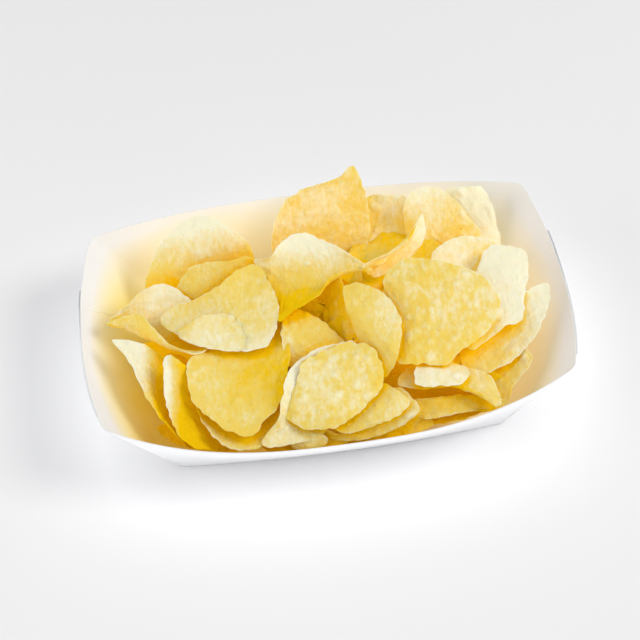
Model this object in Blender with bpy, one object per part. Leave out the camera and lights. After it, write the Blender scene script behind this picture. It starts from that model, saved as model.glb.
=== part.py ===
"""A paperboard food tray heaped with potato chips, in metres with +Z up.

The tray stands on Z = 0 with its long sides along X. Its base is a rectangle with slightly bowed
long edges. Its four walls lean out to a rim that is highest at the four corners, and bows out and
dips between them. The board of each long side is folded round its two corners and glued to the
inside of the end panels, so each end shows a flap lapped over another and an end panel outside
both. The chips are one solid: a core that fills the middle of the tray, and the chips that show
on it, each a thin curled sheet spanned over its own rim.
"""

import math
import random
from collections import namedtuple

import bmesh
import bpy
import numpy as np
from mathutils import Matrix, Vector

MM = 0.001
SAME_POINT = 1e-6
SHARP_ANGLE = 40  # degrees between two faces, past which their edge is sharp

# The tray's driving dimensions
BASE_LENGTH = 0.157
BASE_WIDTH = 0.1044
BASE_BOW = 0.0037
RIM_LENGTH = 0.215  # from corner to corner of a long side
RIM_WIDTH = 0.117  # from corner to corner of an end
CORNER_HEIGHT = 0.0456
SIDE_BOW = 0.0193  # how far the middle of a long rim stands out past its corners
SIDE_DIP = 0.0087  # how far the middle of a long rim hangs below its corners
SIDE_FULLNESS = 2.67  # over 2 keeps the bow full towards the corners
END_BOW = 0.0082
END_DIP = 0.0051
END_FULLNESS = 2.2
BOARD = 0.0006
BASE_CREASE = 0.0012
BASE_CREASE_STEPS = 2
CORNER_CREASE = 0.0026
CORNER_CREASE_STEPS = 3
LEVEL = 0.999  # the least upward part of a level face's normal
SIDE_STEPS = 20
END_STEPS = 10
WALL_STEPS = 4

# The layers glued at each end, as fractions of the end's width (1 at the back corner, -1 at the
# front one) and of the wall's height (0 at the base, 1 at the rim)
LAP_STEP = 0.0005  # how far each layer stands off the one under it
BACK_FLAP = ((0.90, 0.62), (0.93, 0.30))  # (corner, free edge) along the base, then along the rim
END_PANEL = ((0.90, -0.90), (0.50, -0.85))
BACK_FLAP_HEIGHTS = (0.04, 1.012)
END_PANEL_HEIGHTS = (0.03, 1.02)
LAYER_ROOT = 0.0004  # how deep a layer is sunk into the wall that it is glued to
LAYER_GRID = (8, 4)
FLAP_START_DEPTH = 0.0001  # how deep the flap's face starts below the wall's, at the corner
FLAP_TAPER = 0.25  # the stretch next to the corner over which a flap comes out of the wall
PANEL_SPRING = 0.0008  # how far the end panel's free corner springs away from the tray
PANEL_SPRING_SPAN = 0.4
NORMAL_STEP = 0.01  # of the wall's width and height, to either side of a point

# The heap of chips
CHIP_GAP = 0.0004  # kept to the tray
CORE_CENTRE = (0.002, -0.002)
CORE_RADII = ((0.074, 0.046), (0.082, 0.056), (0.083, 0.058))  # at each of CORE_HEIGHTS
CORE_HEIGHTS = (BOARD + CHIP_GAP, 0.014, 0.027)
CORE_CROWN = 0.053
CORE_CROWN_RINGS = 4
CORE_CROWN_FULLNESS = 0.8  # under 1 lifts the shoulders of the heap
CORE_SQUARENESS = 2.6
CORE_SIDES = 28
CORE_LUMP = 0.0025
CORE_SEED = 4
CHIP_THICKNESS = 0.0022
CHIP_CLEARANCE = 0.0026  # from the middle of a chip's sheet to the walls, sideways
CHIP_SIDES = 14
CHIP_RINGS = 3
REST_CHIPS = ("front_middle_small", "right_blistered", "right_upper", "right_pale")
REST_LENGTH = 0.026
REST_RADII = (0.010, 0.0015)  # at the core and at the chip
REST_SIDES = 8
RIM_SAMPLES = 56
RIM_WAVES = 7
RIM_EVENNESS = 0.7  # under 1 gives the short stretches of a rim more of its points

# The line of sight of the photograph that the chips were read from: degrees, metres and, for the
# focal length, picture widths
VIEW_ELEVATION = 51.0
VIEW_AZIMUTH = -5.27
VIEW_ROLL = -3.37
VIEW_DISTANCE = 0.846
VIEW_AIM = (0.0, 0.025, 0.0)
VIEW_FOCAL = 2.6264
FRAME_SIDE = 640  # pixels

# A chip is a film spanned over its rim. Each point of the rim is given as seen in the photograph,
# across and down in its 640 by 640 frame, with its height above the table in millimetres. The belly
# lifts the middle of the film, in millimetres.
Chip = namedtuple("Chip", "name rim belly")

CHIPS = [
    Chip(
        "back_standing",
        [
            (352, 165, 67), (362, 182, 59), (368, 205, 48), (370, 232, 36), (362, 262, 23),
            (335, 280, 15), (300, 282, 14), (276, 264, 22), (271, 243, 32), (275, 222, 42),
            (284, 203, 50), (300, 190, 56), (320, 183, 60), (338, 177, 62),
        ],
        -3,
    ),
    Chip(
        "back_left_domed",
        [
            (200, 216, 58), (218, 220, 58), (232, 230, 55), (246, 240, 50), (254, 258, 42),
            (243, 276, 35), (222, 292, 29), (190, 302, 25), (160, 302, 24), (145, 290, 29),
            (150, 268, 37), (159, 246, 45), (168, 236, 50), (183, 222, 55),
        ],
        4,
    ),
    Chip(
        "back_left_lobe",
        [
            (251, 257, 53), (226, 261, 54), (205, 263, 52), (190, 268, 49), (181, 279, 44),
            (177, 292, 40), (186, 305, 36), (205, 312, 34), (230, 305, 35), (250, 288, 40),
            (260, 268, 47),
        ],
        3,
    ),
    Chip(
        "back_cupped",
        [
            (362, 267, 60), (380, 257, 60), (396, 247, 59), (412, 233, 57), (420, 215, 55),
            (425, 226, 50), (422, 243, 46), (412, 256, 43), (395, 268, 42), (376, 276, 46),
        ],
        0,
    ),
    Chip(
        "back_middle",
        [
            (366, 197, 46), (388, 194, 48), (410, 200, 47), (420, 216, 42), (412, 238, 34),
            (392, 252, 28), (370, 250, 28), (362, 225, 36),
        ],
        -3,
    ),
    Chip(
        "back_right",
        [
            (408, 195, 52), (425, 187, 54), (442, 190, 54), (458, 203, 50), (470, 218, 44),
            (482, 238, 36), (470, 258, 28), (440, 262, 26), (415, 250, 30), (404, 225, 40),
        ],
        2,
    ),
    Chip(
        "back_far_right",
        [
            (446, 190, 50), (465, 186, 51), (482, 188, 49), (490, 200, 44), (495, 220, 36),
            (500, 245, 27), (480, 262, 22), (455, 250, 26), (445, 220, 36), (442, 200, 46),
        ],
        0,
    ),
    Chip(
        "left_pointed",
        [
            (103, 326, 44), (117, 313, 46), (132, 300, 48), (150, 286, 48), (165, 284, 46),
            (180, 291, 43), (200, 310, 40), (212, 335, 41), (202, 352, 46), (182, 350, 49),
            (165, 341, 51), (152, 328, 52), (140, 315, 52), (120, 318, 48),
        ],
        -12,
    ),
    Chip(
        "left_large",
        [
            (160, 321, 45), (172, 307, 47), (192, 301, 49), (215, 288, 53), (238, 270, 58),
            (256, 265, 59), (269, 281, 57), (278, 305, 53), (277, 325, 50), (266, 346, 47),
            (240, 351, 45), (210, 347, 45), (184, 340, 45),
        ],
        -3,
    ),
    Chip(
        "left_leaning_outer",
        [
            (112, 340, 46), (128, 341, 46), (142, 352, 42), (160, 368, 33), (180, 392, 26),
            (197, 420, 22), (210, 446, 20), (198, 448, 24), (184, 440, 29), (168, 424, 34),
            (152, 404, 38), (139, 384, 42), (132, 366, 45), (122, 352, 46),
        ],
        -2,
    ),
    Chip(
        "left_leaning_inner",
        [
            (164, 357, 47), (170, 358, 47), (178, 370, 42), (190, 390, 34), (202, 412, 28),
            (217, 436, 24), (224, 449, 22), (205, 450, 26), (190, 443, 30), (176, 430, 34),
            (168, 412, 37), (165, 392, 40), (165, 372, 44),
        ],
        -2,
    ),
    Chip(
        "front_left",
        [
            (189, 360, 46), (187, 378, 43), (190, 395, 40), (197, 408, 38), (212, 421, 36),
            (228, 431, 35), (245, 437, 34), (256, 434, 35), (265, 420, 37), (277, 408, 40),
            (286, 390, 44), (290, 360, 48), (288, 335, 51), (278, 322, 52), (255, 330, 50),
            (215, 345, 48),
        ],
        -3,
    ),
    Chip(
        "front_left_under",
        [
            (190, 385, 38), (196, 408, 35), (203, 424, 33), (214, 438, 31), (232, 449, 29),
            (252, 450, 29), (268, 443, 30), (280, 428, 33), (287, 405, 37), (288, 380, 41),
            (260, 365, 42), (220, 365, 40),
        ],
        -4,
    ),
    Chip(
        "middle_saddle",
        [
            (254, 260, 57), (268, 256, 60), (284, 240, 63), (303, 232, 65), (322, 240, 64),
            (345, 252, 62), (372, 270, 58), (352, 271, 60), (334, 274, 61), (318, 296, 58),
            (300, 308, 56), (280, 321, 52), (276, 300, 50), (266, 278, 53),
        ],
        -6,
    ),
    Chip(
        "middle_oval",
        [
            (344, 288, 59), (356, 283, 61), (370, 287, 62), (386, 296, 61), (397, 310, 59),
            (402, 328, 56), (400, 348, 52), (395, 364, 49), (386, 376, 46), (374, 370, 46),
            (362, 350, 49), (354, 325, 53), (346, 305, 57),
        ],
        3,
    ),
    Chip(
        "middle_steep",
        [
            (336, 273, 58), (344, 285, 56), (350, 305, 52), (356, 325, 48), (358, 342, 44),
            (340, 340, 40), (328, 330, 40), (318, 312, 42), (318, 300, 45), (326, 288, 51),
        ],
        0,
    ),
    Chip(
        "middle_low",
        [
            (284, 312, 49), (300, 310, 49), (318, 318, 48), (335, 332, 45), (345, 345, 41),
            (330, 362, 38), (305, 372, 36), (288, 365, 40), (282, 340, 46),
        ],
        2,
    ),
    Chip(
        "front_middle_rim",
        [
            (352, 341, 50), (335, 344, 51), (318, 348, 51), (302, 358, 50), (290, 370, 48),
            (284, 385, 46), (281, 402, 43), (280, 415, 40), (272, 430, 36), (262, 442, 32),
            (270, 447, 29), (290, 445, 27), (320, 435, 28), (345, 410, 34), (360, 380, 40),
            (365, 355, 46),
        ],
        -3,
    ),
    Chip(
        "front_blistered",
        [
            (303, 363, 50), (318, 354, 52), (335, 346, 53), (355, 343, 53), (372, 348, 52),
            (381, 362, 49), (384, 380, 45), (378, 393, 43), (366, 405, 41), (352, 418, 38),
            (338, 427, 36), (318, 430, 34), (300, 427, 34), (287, 418, 36), (290, 402, 40),
            (298, 380, 45),
        ],
        2,
    ),
    Chip(
        "front_middle_small",
        [
            (384, 384, 42), (398, 391, 41), (409, 401, 39), (403, 412, 37), (390, 420, 35),
            (372, 426, 33), (350, 433, 31), (335, 428, 31), (345, 410, 34), (360, 395, 38),
            (372, 385, 41),
        ],
        1,
    ),
    Chip(
        "front_middle_under",
        [
            (400, 388, 37), (412, 398, 36), (420, 410, 34), (410, 420, 31), (395, 429, 28),
            (375, 437, 26), (350, 441, 24), (325, 437, 24), (330, 425, 27), (350, 410, 31),
            (375, 395, 35),
        ],
        1,
    ),
    Chip(
        "right_upper",
        [
            (438, 247, 53), (455, 238, 55), (475, 236, 55), (495, 243, 52), (505, 262, 46),
            (500, 285, 42), (470, 290, 44), (445, 280, 46), (430, 262, 49),
        ],
        1,
    ),
    Chip(
        "right_blistered",
        [
            (384, 278, 60), (400, 262, 64), (422, 258, 66), (448, 263, 66), (472, 270, 64),
            (492, 285, 61), (500, 305, 57), (492, 325, 54), (475, 342, 51), (460, 352, 49),
            (447, 364, 46), (422, 364, 46), (398, 362, 46), (392, 340, 49), (388, 310, 54),
        ],
        2,
    ),
    Chip(
        "right_pale",
        [
            (490, 246, 58), (508, 246, 58), (524, 252, 56), (528, 268, 54), (525, 295, 50),
            (521, 320, 46), (505, 327, 46), (490, 338, 45), (470, 350, 44), (464, 330, 47),
            (470, 300, 52), (478, 265, 56),
        ],
        1,
    ),
    Chip(
        "right_low",
        [
            (548, 283, 48), (550, 296, 46), (545, 315, 43), (536, 335, 40), (520, 355, 37),
            (500, 368, 35), (478, 375, 34), (462, 365, 36), (462, 345, 38), (480, 320, 42),
            (510, 300, 45), (532, 288, 48),
        ],
        -2,
    ),
    Chip(
        "right_corner",
        [
            (529, 350, 38), (532, 362, 35), (522, 375, 31), (513, 388, 28), (508, 402, 25),
            (490, 405, 24), (472, 395, 26), (470, 378, 30), (485, 362, 34), (508, 350, 37),
        ],
        -1,
    ),
    Chip(
        "front_right_top",
        [
            (414, 379, 42), (420, 366, 45), (450, 362, 45), (470, 372, 43), (460, 384, 41),
            (440, 386, 41), (420, 386, 41),
        ],
        1,
    ),
    Chip(
        "front_right_folded",
        [
            (398, 384, 37), (415, 389, 37), (440, 387, 38), (465, 387, 38), (480, 393, 37),
            (490, 402, 35), (499, 409, 33), (500, 395, 34), (490, 375, 36), (450, 365, 38),
            (410, 368, 38),
        ],
        0,
    ),
    Chip(
        "front_right_low",
        [
            (402, 412, 27), (425, 419, 27), (450, 415, 27), (480, 410, 27), (498, 410, 26),
            (505, 400, 28), (470, 395, 30), (430, 398, 31), (405, 402, 30),
        ],
        0,
    ),
]


def material(name, colour, roughness):
    made = bpy.data.materials.new(name)
    made.use_nodes = True
    shader = made.node_tree.nodes["Principled BSDF"]
    shader.inputs["Base Color"].default_value = (*colour, 1.0)
    shader.inputs["Roughness"].default_value = roughness
    shader.inputs["Metallic"].default_value = 0.0
    return made


def new_object(name, shape, surface):
    """Makes an object of this bmesh, and frees the bmesh."""
    bmesh.ops.recalc_face_normals(shape, faces=shape.faces)
    mesh = bpy.data.meshes.new(name)
    shape.to_mesh(mesh)
    shape.free()
    mesh.materials.append(surface)
    mesh.shade_smooth()
    mesh.set_sharp_from_angle(angle=math.radians(SHARP_ANGLE))
    made = bpy.data.objects.new(name, mesh)
    bpy.context.scene.collection.objects.link(made)
    return made


def join(target, name, others):
    """Joins helpers to the target with one live Boolean, and hides them."""
    group = bpy.data.collections.new(name)
    bpy.context.scene.collection.children.link(group)
    for other in others:
        other.hide_render = True
        other.display_type = "WIRE"
        bpy.context.scene.collection.objects.unlink(other)
        group.objects.link(other)
    union = target.modifiers.new("join", "BOOLEAN")
    union.operation = "UNION"
    union.solver = "EXACT"
    union.operand_type = "COLLECTION"
    union.collection = group


def side_point(across, along, up):
    """A point of a long wall: across is -1 in front and 1 behind, along runs from -1 to 1."""
    bow = 1 - abs(along) ** SIDE_FULLNESS
    base = Vector((
        along * BASE_LENGTH / 2,
        across * (BASE_WIDTH / 2 + BASE_BOW * (1 - along**2)),
        BOARD / 2,
    ))
    rim = Vector((
        along * RIM_LENGTH / 2,
        across * (RIM_WIDTH / 2 + SIDE_BOW * bow),
        CORNER_HEIGHT - SIDE_DIP * bow,
    ))
    return base.lerp(rim, up)


def end_point(end, across, up):
    """A point of an end wall: end is -1 at the left and 1 at the right, across runs from -1 to 1."""
    bow = 1 - abs(across) ** END_FULLNESS
    base = Vector((end * BASE_LENGTH / 2, across * BASE_WIDTH / 2, BOARD / 2))
    rim = Vector((
        end * (RIM_LENGTH / 2 + END_BOW * bow),
        across * RIM_WIDTH / 2,
        CORNER_HEIGHT - END_DIP * bow,
    ))
    return base.lerp(rim, up)


def tray_loop(up):
    """The points round the walls at this height, from the front left corner and anticlockwise."""
    sides = [2 * step / SIDE_STEPS - 1 for step in range(SIDE_STEPS)]
    ends = [2 * step / END_STEPS - 1 for step in range(END_STEPS)]
    return (
        [side_point(-1, along, up) for along in sides]
        + [end_point(1, across, up) for across in ends]
        + [side_point(1, -along, up) for along in sides]
        + [end_point(-1, -across, up) for across in ends]
    )


def extrude_ring(shape, ring, points):
    """Extrudes a closed ring of vertices to these points, and returns the new ring."""
    edges = [shape.edges.get(pair) for pair in zip(ring, ring[1:] + ring[:1])]
    made = set(bmesh.ops.extrude_edge_only(shape, edges=edges)["geom"])
    raised = []
    for vertex, point in zip(ring, points):
        twins = (edge.other_vert(vertex) for edge in vertex.link_edges)
        twin = next(other for other in twins if other in made)
        twin.co = point
        raised.append(twin)
    return raised


def build_tray(surface):
    shape = bmesh.new()
    ring = [shape.verts.new(point) for point in tray_loop(0)]
    shape.faces.new(ring)
    corners = (0, SIDE_STEPS, SIDE_STEPS + END_STEPS, 2 * SIDE_STEPS + END_STEPS)
    corner_edges = []
    for step in range(WALL_STEPS):
        raised = extrude_ring(shape, ring, tray_loop((step + 1) / WALL_STEPS))
        corner_edges += [shape.edges.get((ring[corner], raised[corner])) for corner in corners]
        ring = raised
    crease(shape, corner_edges, CORNER_CREASE, CORNER_CREASE_STEPS)
    base_edges = [edge for edge in shape.edges if is_base_edge(edge)]
    crease(shape, base_edges, BASE_CREASE, BASE_CREASE_STEPS)
    tray = new_object("tray", shape, surface)
    board = tray.modifiers.new("board", "SOLIDIFY")
    board.thickness = BOARD
    board.offset = 0.0
    board.use_even_offset = True
    layers = []
    for end, name in ((-1, "left"), (1, "right")):
        layers += [back_flap(end, name, surface), end_panel(end, name, surface)]
    join(tray, "end_layers", layers)


def crease(shape, edges, width, segments):
    """Rounds folds of the board."""
    bmesh.ops.bevel(
        shape,
        geom=edges,
        offset=width,
        segments=segments,
        profile=0.5,
        affect="EDGES",
        material=-1,
    )


def is_base_edge(edge):
    """Whether an edge lies between the flat floor and a wall."""
    flat = [abs(face.normal.z) > LEVEL for face in edge.link_faces]
    return len(flat) == 2 and flat[0] != flat[1]


def end_layer(name, end, spans, heights, thickness, surface):
    """A sheet of board glued over part of an end wall.

    spans holds where the sheet starts and stops along the base and along the rim. thickness gives,
    for a place along (0 to 1) and up (0 to 1) the sheet, how far its two faces stand off the middle
    of the wall, inwards when positive.
    """
    columns, rows = LAYER_GRID
    shape = bmesh.new()
    bmesh.ops.create_grid(shape, x_segments=columns, y_segments=rows, size=0.5)
    faces = list(shape.faces)
    inner_face = set(bmesh.ops.extrude_face_region(shape, geom=faces, use_keep_orig=True)["geom"])
    for vertex in shape.verts:
        along, rise = vertex.co.x + 0.5, vertex.co.y + 0.5
        up = heights[0] + (heights[1] - heights[0]) * rise
        start, stop = (base + (rim - base) * up for base, rim in zip(*spans))
        across = start + (stop - start) * along
        outer, inner = thickness(along, rise)
        offset = inner if vertex in inner_face else outer
        vertex.co = end_point(end, across, up) + wall_normal(end, across, up) * offset
    return new_object(name, shape, surface)


def wall_normal(end, across, up):
    """The unit normal of an end wall, towards the inside of the tray."""
    sides = [end_point(end, across + step, up) for step in (NORMAL_STEP, -NORMAL_STEP)]
    heights = [end_point(end, across, up + step) for step in (NORMAL_STEP, -NORMAL_STEP)]
    sideways = sides[0] - sides[1]
    upwards = heights[0] - heights[1]
    normal = sideways.cross(upwards).normalized()
    return normal if normal.x * end < 0 else -normal


def back_flap(end, name, surface):
    """The flap of the back wall, folded round the corner over the inside of the end."""

    def thickness(along, _rise):
        out = min(along / FLAP_TAPER, 1.0)
        inner = BOARD / 2 - FLAP_START_DEPTH + out * (LAP_STEP + FLAP_START_DEPTH)
        return (BOARD / 2 - LAYER_ROOT, inner)

    return end_layer(f"{name}_back_flap", end, BACK_FLAP, BACK_FLAP_HEIGHTS, thickness, surface)


def end_panel(end, name, surface):
    """The end panel, outside the flaps, whose free back corner springs a little away."""

    def thickness(along, rise):
        spring = PANEL_SPRING * rise**2 * max(0.0, 1 - along / PANEL_SPRING_SPAN)
        outer = -BOARD / 2 - LAP_STEP - spring
        return (outer, outer + LAP_STEP + LAYER_ROOT + spring * (1 - rise))

    return end_layer(f"{name}_end_panel", end, END_PANEL, END_PANEL_HEIGHTS, thickness, surface)


def core_point(ring, height, side, scale=1.0):
    """A point on one of the core's rings, which are rectangles with very round corners."""
    angle = 2 * math.pi * side / CORE_SIDES
    cosine, sine = math.cos(angle), math.sin(angle)
    reach = (abs(cosine) ** CORE_SQUARENESS + abs(sine) ** CORE_SQUARENESS) ** (-1 / CORE_SQUARENESS)
    return Vector((
        CORE_CENTRE[0] + ring[0] * reach * cosine * scale,
        CORE_CENTRE[1] + ring[1] * reach * sine * scale,
        height,
    ))


def build_core(surface):
    """The inside of the heap, up to just under the chips that show."""
    draw = random.Random(CORE_SEED)
    shape = bmesh.new()
    loops = [
        [core_point(ring, height, side) for side in range(CORE_SIDES)]
        for ring, height in zip(CORE_RADII, CORE_HEIGHTS)
    ]
    for crown_ring in range(1, CORE_CROWN_RINGS):
        inward = crown_ring / CORE_CROWN_RINGS
        rise = math.sin(inward * math.pi / 2) ** CORE_CROWN_FULLNESS
        height = CORE_HEIGHTS[-1] + (CORE_CROWN - CORE_HEIGHTS[-1]) * rise
        loops.append([
            core_point(CORE_RADII[-1], height + draw.uniform(-1, 1) * CORE_LUMP, side, 1 - inward)
            for side in range(CORE_SIDES)
        ])
    ring = [shape.verts.new(point) for point in loops[0]]
    shape.faces.new(ring)
    for loop in loops[1:]:
        ring = extrude_ring(shape, ring, loop)
    cap = shape.faces.new(ring)
    crown = bmesh.ops.poke(shape, faces=[cap])["verts"][0]
    crown.co.z = CORE_CROWN
    return new_object("chip_heap", shape, surface)


def view_axes():
    """The right, up and forward directions of the photograph's view."""
    elevation, azimuth, roll = (math.radians(v) for v in (VIEW_ELEVATION, VIEW_AZIMUTH, VIEW_ROLL))
    backward = Vector((
        math.cos(elevation) * math.sin(azimuth),
        -math.cos(elevation) * math.cos(azimuth),
        math.sin(elevation),
    ))
    level = Vector((math.cos(azimuth), math.sin(azimuth), 0))
    upright = backward.cross(level)
    right = level * math.cos(roll) + upright * math.sin(roll)
    up = upright * math.cos(roll) - level * math.sin(roll)
    return right, up, -backward


def seen_place(across, down, height):
    """The place at this height in millimetres that the photograph shows at this pixel, in metres."""
    right, up, forward = view_axes()
    eye = Vector(VIEW_AIM) - forward * VIEW_DISTANCE
    middle, focal = FRAME_SIDE / 2, VIEW_FOCAL * FRAME_SIDE
    sight = forward + right * (across - middle) / focal - up * (down - middle) / focal
    return eye + sight * (height * MM - eye.z) / sight.z


def rim_curve(points):
    """Points evenly round a smooth closed curve through these points."""
    count = len(points)
    steps = [(points[(n + 1) % count] - points[n]).length ** RIM_EVENNESS for n in range(count)]
    total = sum(steps)
    curve = []
    for number, step in enumerate(steps):
        before, here, after, later = (points[(number + shift) % count] for shift in (-1, 0, 1, 2))
        leaving = (after - before) * step / (step + steps[number - 1])
        reaching = (later - here) * step / (step + steps[(number + 1) % count])
        first = math.ceil(sum(steps[:number]) / total * RIM_SAMPLES)
        last = math.ceil(sum(steps[: number + 1]) / total * RIM_SAMPLES)
        for sample in range(first, last):
            part = (sample / RIM_SAMPLES * total - sum(steps[:number])) / step
            square, cube = part**2, part**3
            curve.append(
                here * (2 * cube - 3 * square + 1)
                + leaving * (cube - 2 * square + part)
                + after * (3 * square - 2 * cube)
                + reaching * (cube - square)
            )
    return np.array(curve)


def facing(curve):
    """The direction that a chip with this rim faces, which is upwards."""
    arms = curve - curve.mean(axis=0)
    normal = np.cross(arms, np.roll(arms, -1, axis=0)).sum(axis=0)
    normal = Vector(normal).normalized()
    return normal if normal.z > 0 else -normal


def film_points(curve, belly, spots):
    """The points of a film spanned over a rim, for spots on the unit disc."""
    waves = np.fft.rfft(curve, axis=0)[: RIM_WAVES + 1] / len(curve)
    waves[1:] *= 2
    turns = np.array([complex(spot.x, spot.y) for spot in spots])
    powers = turns[:, None] ** np.arange(RIM_WAVES + 1)[None, :]
    film = (powers @ waves).real
    lift = belly * MM * (1 - np.abs(turns) ** 2)
    return film + lift[:, None] * np.array(facing(curve))[None, :]


def clear_of_walls(point):
    """Draws a point in until it keeps clear of the tray's walls."""
    up = min(max(point.z / CORNER_HEIGHT, 0), 1)
    along = min(abs(point.x) / (BASE_LENGTH + (RIM_LENGTH - BASE_LENGTH) * up) * 2, 1)
    up = min(max(point.z / side_point(1, along, 1).z, 0), 1)
    width = side_point(1, along, up).y - CHIP_CLEARANCE
    across = min(abs(point.y) / end_point(1, 1, up).y, 1)
    length = end_point(1, across, up).x - CHIP_CLEARANCE
    return Vector((max(min(point.x, length), -length), max(min(point.y, width), -width), point.z))


def build_chip(spec, surface):
    """One chip of the heap, as a closed curved sheet."""
    shape = bmesh.new()
    spokes = [shape.verts.new((ring / CHIP_RINGS, 0, 0)) for ring in range(CHIP_RINGS + 1)]
    spoke = [shape.edges.new(pair) for pair in zip(spokes, spokes[1:])]
    bmesh.ops.spin(
        shape,
        geom=spokes + spoke,
        cent=(0, 0, 0),
        axis=(0, 0, 1),
        angle=2 * math.pi,
        steps=CHIP_SIDES,
        use_merge=True,
    )
    bmesh.ops.remove_doubles(shape, verts=shape.verts, dist=SAME_POINT)
    curve = rim_curve([seen_place(*point) for point in spec.rim])
    spots = [vertex.co.copy() for vertex in shape.verts]
    for vertex, place in zip(shape.verts, film_points(curve, spec.belly, spots)):
        vertex.co = clear_of_walls(Vector(place))
    bmesh.ops.recalc_face_normals(shape, faces=shape.faces)
    shape.normal_update()
    for vertex, normal in [(vertex, vertex.normal.copy()) for vertex in shape.verts]:
        vertex.co += normal * CHIP_THICKNESS / 2
    bmesh.ops.solidify(shape, geom=shape.faces, thickness=CHIP_THICKNESS)
    return new_object("chip_" + spec.name, shape, surface)


def build_rest(spec, surface):
    """What holds up a chip that lies clear of the core: a stout cone from its middle to the core."""
    curve = rim_curve([seen_place(*point) for point in spec.rim])
    middle = Vector(film_points(curve, spec.belly, [Vector((0, 0))])[0])
    shape = bmesh.new()
    bmesh.ops.create_cone(
        shape,
        cap_ends=True,
        segments=REST_SIDES,
        radius1=REST_RADII[0],
        radius2=REST_RADII[1],
        depth=REST_LENGTH,
        matrix=Matrix.Translation(middle - middle.normalized() * REST_LENGTH / 2)
        @ middle.to_track_quat("Z", "Y").to_matrix().to_4x4(),
    )
    return new_object("rest_" + spec.name, shape, surface)


def build_heap(surface):
    chips = [build_chip(spec, surface) for spec in CHIPS]
    rests = [build_rest(spec, surface) for spec in CHIPS if spec.name in REST_CHIPS]
    join(build_core(surface), "chips", chips + rests)


def main():
    for item in list(bpy.data.objects):
        bpy.data.objects.remove(item, do_unlink=True)
    build_tray(material("white_paperboard", (0.86, 0.85, 0.83), 0.6))
    build_heap(material("fried_potato", (0.80, 0.58, 0.20), 0.55))


main()
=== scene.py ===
"""A paperboard food tray heaped with potato chips, on a pale table, in metres with +Z up.

The tray's long sides lie along X and its front is at -Y. Each end of the tray is lapped: the board
of the long walls is folded round the corners inside the end panel. The chips are thin fried slices
with curled, broken and blistered faces, laid one by one where they show and scattered under those.
"""

import math
import random
from collections import namedtuple

import bmesh
import bpy
from bpy.props import FloatProperty, FloatVectorProperty, IntProperty, PointerProperty
import numpy as np
from mathutils import Matrix, Vector, noise
from mathutils.bvhtree import BVHTree


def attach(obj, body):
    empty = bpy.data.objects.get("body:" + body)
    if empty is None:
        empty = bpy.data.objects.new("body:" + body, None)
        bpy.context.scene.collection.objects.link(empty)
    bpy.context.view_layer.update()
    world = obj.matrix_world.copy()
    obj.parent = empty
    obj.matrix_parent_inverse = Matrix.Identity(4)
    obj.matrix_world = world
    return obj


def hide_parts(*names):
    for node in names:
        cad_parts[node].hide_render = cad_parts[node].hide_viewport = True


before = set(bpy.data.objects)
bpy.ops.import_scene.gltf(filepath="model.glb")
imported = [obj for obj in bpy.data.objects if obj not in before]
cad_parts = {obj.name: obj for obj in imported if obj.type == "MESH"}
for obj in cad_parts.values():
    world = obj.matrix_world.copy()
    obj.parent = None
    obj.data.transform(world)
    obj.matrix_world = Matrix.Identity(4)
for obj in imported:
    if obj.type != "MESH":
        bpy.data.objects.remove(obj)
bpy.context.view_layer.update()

bl_info = {
    "name": "Tray of potato chips",
    "version": (1, 0, 0),
    "blender": (4, 5, 0),
    "location": "View3D > Sidebar > Chips",
    "description": "Builds a folded paperboard food tray, its heap of potato chips and a pale stage",
    "category": "Add Mesh",
}

MM = 0.001

# The tray
BASE_LENGTH = 0.157
BASE_WIDTH = 0.1044
BASE_BOW = 0.0037
RIM_LENGTH = 0.215  # from corner to corner of a long side
RIM_WIDTH = 0.117  # from corner to corner of an end
CORNER_HEIGHT = 0.0456
SIDE_BOW = 0.0193  # how far the middle of a long rim stands out past its corners
SIDE_DIP = 0.0087  # how far the middle of a long rim hangs below its corners
SIDE_FULLNESS = 2.67
END_BOW = 0.0082
END_DIP = 0.0051
END_FULLNESS = 2.2
BASE_CREASE = 0.0012
CORNER_CREASE = 0.0026
BASE_ROUNDING = 4  # flat strips across a fold
CORNER_ROUNDING = 6
SIDE_STEPS = 56
END_STEPS = 28
WALL_STEPS = 10
LEVEL = 0.999  # a face is level from this upward part of its normal
BOARD_SHARP = 60  # degrees between the faces of a sharp edge

# The layers glued at each end, as fractions of the end's width and of the wall's height
LAP_STEP = 0.0003
BACK_FLAP = ((0.90, 0.62), (0.93, 0.30))
END_PANEL = ((0.90, -0.90), (0.50, -0.85))
BACK_FLAP_HEIGHTS = (0.03, 1.008)
END_PANEL_HEIGHTS = (0.02, 1.012)
LAYER_ROOT = 0.0002
LAYER_GRID = (28, 12)
FLAP_TAPER = 0.2
PANEL_SPRING = 0.0008
PANEL_SPRING_SPAN = 0.4
NORMAL_STEP = 0.01

# The paperboard's looks
BOARD_WHITES = ((0.825, 0.828, 0.835), (0.855, 0.858, 0.865))  # between the fibres and on them
BOARD_CLOUD = (0.815, 0.818, 0.82)
BOARD_CLOUD_SHARE = 0.25
# the inner face, painted lighter and cooler than the outer one, offsetting the pink light bounced onto it
# from the chips
BOARD_INSIDE = (0.85, 0.87, 0.89)
BOARD_ROUGHNESS = (0.55, 0.7)
BOARD_RELIEF = 0.00002
FIBRE_NOISE = (900, 5, 0.7)
CLOUD_NOISE = (35, 3)
RELIEF_NOISE = (1300, 4, 0.6)

# The golden tone painted low inside the board, partly oil and partly painted light bounced from the
# chips, strongest low at the left
GLOW_TONES = ((0.88, 0.82, 0.50), (0.80, 0.64, 0.09))
GLOW_MIDDLE = 0.5  # the glow that has the first of these tones
GLOW_TOP = 0.037
GLOW_FULLNESS = 3.5
GLOW_RIGHT = 0.42
GLOW_RIGHT_SPAN = (-0.06, 0.06)
GLOW_BACK = 0.45
GLOW_BACK_SPAN = (0.03, 0.055)
GLOW_CLOUDS = (0.9, 1.1)

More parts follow.
